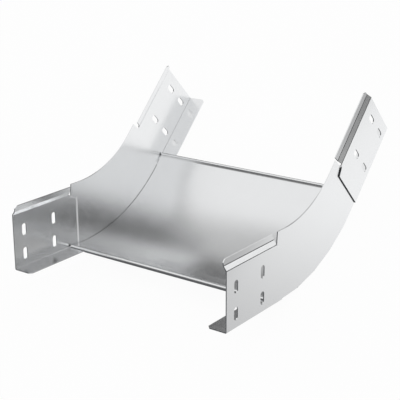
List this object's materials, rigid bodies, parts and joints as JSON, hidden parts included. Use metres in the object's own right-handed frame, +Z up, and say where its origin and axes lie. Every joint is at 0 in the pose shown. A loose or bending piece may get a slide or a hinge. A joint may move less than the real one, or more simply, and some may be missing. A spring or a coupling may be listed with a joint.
{
  "type": "cable tray bend",
  "caption": "Rising bend that joins level and sloping cable tray runs: folded side plates with slotted end tabs and a curved bottom sheet.",
  "frame": {"origin": "centre of the bounding box in plan, at the height of the flat that the part lies on", "axes": "+X across the tray, +Y along the run towards the far end, +Z up; both ends rise by half the bend angle"},
  "size_m": [0.304, 0.3778, 0.1326],
  "materials": {
    "galvanised_side": "galvanised, satin",
    "galvanised_bottom": "galvanised, satin"
  },
  "bodies": {
    "root": {"side_plate_left": "galvanised_side", "side_plate_right": "galvanised_side", "bottom_sheet": "galvanised_bottom"}
  },
  "joints": []
}
